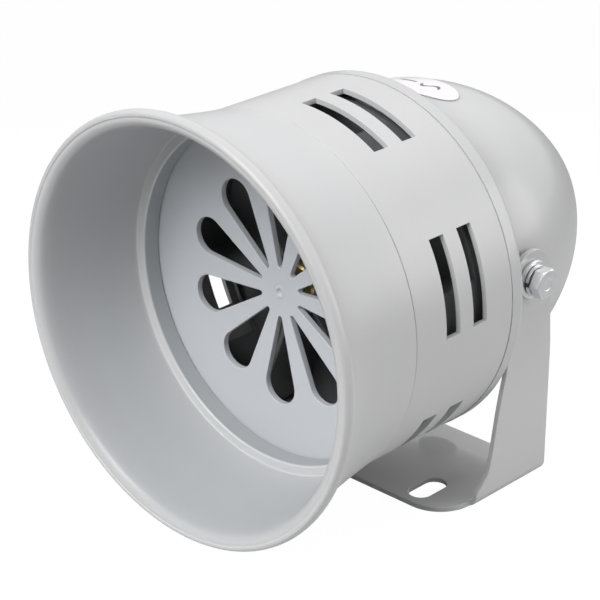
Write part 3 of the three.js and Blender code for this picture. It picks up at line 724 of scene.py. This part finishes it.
flat_profile = [(3.4, 0), (7.2, 0), (7.3, 0.15), (7.3, 0.95), (7.0, 1.3), (3.4, 1.3)]
for side, hand in ((1, "right"), (-1, "left")):
    turn_to_hand = at_pivot(side, HEAD_AT) @ Matrix.Rotation(math.radians(30), 4, "Y")
    piece(
        "bolt_" + hand, added(hexagon_head(), shank()), zinc, "pivot_bolt_" + hand,
        rounding=0.18, place=turn_to_hand, sharp=20,
    )
    piece(
        "spring_washer_" + hand, spring_washer(), zinc, "lock_washer_" + hand,
        rounding=0.18, place=at_pivot(side, LOCK_AT),
    )
    piece(
        "plain_washer_" + hand, turned(flat_profile, 96), zinc, "flat_washer_" + hand,
        rounding=0.12, place=at_pivot(side, FLAT_AT),
    )


# ---- rotor ------------------------------------------------------------------------------------
# The rotor is moulded in charcoal plastic: a cup with six windows that pass the drum's slots, and
# six straight vanes. Its hub is machined brass, held on the shaft by a set screw.
ROTOR_R = 64.0
ROTOR_BORE = 62.0
CUP_FRONT, CUP_REAR = 57.5, 88.5
WINDOW_FRONT, WINDOW_REAR = 60.5, 85.0
WINDOW_TURN = 12
VANE_TURN = WINDOW_TURN - 2

charcoal = moulded("charcoal plastic", (0.18, 0.185, 0.188, 1), (0.145, 0.15, 0.153, 1), 0.42, 0.00001)

cup_outside = [(63.7, CUP_FRONT), (ROTOR_R, CUP_FRONT + 0.4), (ROTOR_R, WINDOW_FRONT)]
cup_outside += [(ROTOR_R, WINDOW_REAR), (ROTOR_R, CUP_REAR - 0.4), (63.7, CUP_REAR)]
web = [(8.3, CUP_REAR), (8.3, 64.0), (12, 64.0), (12, 86.5), (ROTOR_BORE, 86.5)]
cup_inside = [(ROTOR_BORE, WINDOW_REAR), (ROTOR_BORE, WINDOW_FRONT)]
cup_inside += [(ROTOR_BORE, CUP_FRONT + 0.4), (62.3, CUP_FRONT)]
first_step = round(STEPS * WINDOW_TURN / 360)
windows = [
    (ROTOR_R, ROTOR_BORE, WINDOW_FRONT, WINDOW_REAR, step, step + STEPS_A_PORT // 2)
    for step in range(first_step, STEPS, STEPS_A_PORT)
]
rotor = turned([*cup_outside, *web, *cup_inside], windows=windows)
vane_outline = [(11.6, 61), (60, 61), (62.4, 63.4), (62.4, 86.8), (11.6, 86.8)]
for vane in range(PORTS):
    upright = Matrix.Rotation(-math.radians(VANE_TURN) - math.tau * vane / PORTS, 4, "Y")
    added(rotor, plate([vane_outline], 2.0, 0.3, upright))
piece("rotor", rotor, charcoal, "impeller", rounding=0.3)

brass = Finish("machined brass", Metallic=1.0)
tarnish = brass.noise(220, 3.0)
tool_marks = brass.node("ShaderNodeTexWave", {"wave_type": "RINGS", "rings_direction": "Y"}, {
    "Vector": brass.place, "Scale": 900.0, "Distortion": 0.4,
}, "Fac")
brass.feed(Base_Color=brass.mixed(tarnish, (0.62, 0.47, 0.19, 1), (0.82, 0.68, 0.34, 1)))
brass.feed(Roughness=tarnish * 0.2 + 0.2)
brass.bumped((tool_marks, 0.000004), (tarnish, 0.00001))

hub_profile = [
    (4.3, 60), (7.2, 60), (8, 60.8), (8, 63.9), (7.9, 64.0), (7.9, 90.8), (7.7, 91), (4.3, 91),
]
piece("hub", turned(hub_profile, 96), brass, "impeller_hub", rounding=0.15)

steel = Finish("bare steel", Metallic=1.0)
drawn = steel.noise(500, 4.0, place=steel.stretched(1, 0.12, 1))
steel.feed(Base_Color=steel.mixed(drawn, (0.38, 0.385, 0.39, 1), (0.55, 0.555, 0.56, 1)))
steel.feed(Roughness=drawn * 0.25 + 0.25)
steel.bumped((drawn, 0.000008))

shaft_profile = [(0, 58.4), (3.4, 58.4), (4, 59), (4, 177.6), (3.4, 178.2), (0, 178.2)]
piece("shaft", turned(shaft_profile, 72), steel, "motor_shaft", rounding=0.1)


# ---- motor ------------------------------------------------------------------------------------
# The motor behind the drum keeps its CAD shapes: laminated cores, enamelled copper coils, pressed
# steel frames and zinc-plated bolts, all closed in by the cover.
def carried(finish, *nodes):
    """Gives CAD nodes their finish, with welded seams and small rounded edges."""
    for name in nodes:
        node = frame["nodes"][name]
        node.data.materials.clear()
        node.data.materials.append(finish.material)
        node.modifiers.new("one skin", "WELD").merge_threshold = 0.00001
        edge = node.modifiers.new("rounded edges", "BEVEL")
        edge.width = 0.00015
        edge.segments = 2
        edge.angle_limit = math.radians(40)


lamination = Finish("silicon steel laminations", Metallic=0.8)
sheets = lamination.node("ShaderNodeTexWave", {"bands_direction": "Y", "wave_profile": "SAW"}, {
    "Vector": lamination.place, "Scale": 320.0, "Distortion": 0.0,
}, "Fac")
scorched = lamination.noise(150, 3.0)
lamination.feed(Base_Color=lamination.mixed(scorched, (0.12, 0.125, 0.14, 1), (0.24, 0.245, 0.26, 1)))
lamination.feed(Roughness=sheets * 0.2 + 0.35)
lamination.bumped((sheets, 0.00005))

copper = Finish("enamelled copper wire", Metallic=0.9, Coat_Weight=0.5)
strands = copper.node("ShaderNodeTexWave", {"bands_direction": "DIAGONAL"}, {
    "Vector": copper.place, "Scale": 380.0, "Distortion": 1.5, "Detail": 2.0,
}, "Fac")
copper.feed(Base_Color=copper.mixed(strands, (0.26, 0.085, 0.03, 1), (0.62, 0.27, 0.12, 1)))
copper.feed(Roughness=strands * 0.2 + 0.25)
copper.bumped((strands, 0.0001))

carbon = Finish("pressed carbon", IOR=1.7)
grains = carbon.noise(1200, 3.0)
carbon.feed(Base_Color=carbon.mixed(grains, (0.012, 0.012, 0.013, 1), (0.05, 0.05, 0.052, 1)))
carbon.feed(Roughness=carbon.noise(300, 3.0) * 0.2 + 0.45)
carbon.bumped((carbon.noise(1800, 2.0), 0.00001))

carried(steel, "motor_plate", "rear_bridge", "front_bearing", "rear_bearing", "hub_screw")
carried(steel, "brush_spring_right", "brush_spring_left")
carried(lamination, "stator_core", "armature_core")
carried(copper, "field_coil_upper", "field_coil_lower", "winding_front", "winding_rear")
carried(brass, "brush_holder_right", "brush_holder_left", "commutator")
carried(carbon, "carbon_brush_right", "carbon_brush_left")
carried(charcoal, "cooling_fan")
carried(zinc, "pivot_nut_right", "pivot_nut_left", *[f"cover_screw_{i}" for i in (1, 2, 3)])
carried(zinc, *[f"tie_{kind}_{i}" for kind in ("bolt", "spacer") for i in (1, 2, 3, 4)])


# ---- floor and light --------------------------------------------------------------------------
# The siren stands on the white middle of a grey sweep. To camera rays the sweep is mostly a white
# glow, painted light that hides its shading and the siren's contact shadow. A large light is high in
# front, weaker ones fill in, and the room grows brighter towards the rear.
FLOOR_GAP = 0.00005
WHITE_WITHIN, GREY_FROM = 0.15, 0.42
ROOM_LEVEL = 0.52
SIREN_MIDDLE = Vector((0, 0, 0.08))

floor_finish = Finish("white sweep", Roughness=0.9)
away = floor_finish.length(floor_finish.place) + (floor_finish.noise(3, 2.0) - 0.5) * 0.02
far = floor_finish.ramp(away, WHITE_WITHIN, GREY_FROM)
floor_finish.feed(Base_Color=floor_finish.mixed(far, (0.62, 0.62, 0.62, 1), (0.16, 0.16, 0.16, 1)))
# Camera rays see mostly this painted glow, not the lit floor, so the floor's shade and the contact shadow do not
# show.
seen = floor_finish.node("ShaderNodeLightPath", output="Is Camera Ray")
painted_floor_glow = floor_finish.node("ShaderNodeEmission", None, {"Color": (1, 1, 1, 1), "Strength": 1.08})
lit = Wire(floor_finish, floor_finish.shader.outputs[0])
sweep = floor_finish.node("ShaderNodeMixShader", None, {0: seen * 0.9, 1: lit, 2: painted_floor_glow})
floor_finish.tree.links.new(sweep.socket, floor_finish.tree.nodes["Material Output"].inputs["Surface"])
floor_skin = bmesh.new()
bmesh.ops.create_grid(floor_skin, x_segments=4, y_segments=4, size=6)
floor_mesh = bpy.data.meshes.new("floor")
floor_skin.to_mesh(floor_mesh)
floor_skin.free()
floor_mesh.materials.append(floor_finish.material)
floor = bpy.data.objects.new("floor", floor_mesh)
floor.location.z = cad_low.z - FLOOR_GAP
scene.collection.objects.link(floor)


def softbox(name, place, size, power):
    """Rectangular light that faces the middle of the siren."""
    light = bpy.data.lights.new(name, "AREA")
    light.shape = "RECTANGLE"
    light.size, light.size_y = size
    light.energy = power
    made = bpy.data.objects.new(name, light)
    made.location = place
    made.rotation_euler = (SIREN_MIDDLE - Vector(place)).to_track_quat("-Z", "Y").to_euler()
    scene.collection.objects.link(made)


softbox("high front", (0, -1.2, 1.2), (1.0, 1.0), 23.2)
softbox("high rear", (0, 1.2, 1.2), (1.2, 1.2), 1.6)
softbox("rear right", (1.2, 1.2, 0.5), (1.0, 0.9), 7.0)
softbox("front left", (-1.2, -1.3, 0.6), (1.0, 0.9), 0.9)

world = bpy.data.worlds.new("studio")
world.use_nodes = True
room = world.node_tree
direction = room.nodes.new("ShaderNodeTexCoord").outputs["Generated"]
rearward = room.nodes.new("ShaderNodeVectorMath")
rearward.operation = "DOT_PRODUCT"
rearward.inputs[1].default_value = (0, ROOM_LEVEL, 0)
room.links.new(direction, rearward.inputs[0])
shading = room.nodes.new("ShaderNodeMath")
shading.operation = "ADD"
shading.inputs[1].default_value = ROOM_LEVEL
room.links.new(rearward.outputs["Value"], shading.inputs[0])
brightness = room.nodes.new("ShaderNodeMath")
brightness.operation = "MAXIMUM"
room.links.new(shading.outputs[0], brightness.inputs[0])
room.links.new(room.nodes.new("ShaderNodeLightPath").outputs["Is Camera Ray"], brightness.inputs[1])
room.nodes["Background"].inputs["Color"].default_value = (1, 1, 1, 1)
room.links.new(brightness.outputs[0], room.nodes["Background"].inputs["Strength"])
scene.world = world
scene.view_settings.view_transform = "Standard"
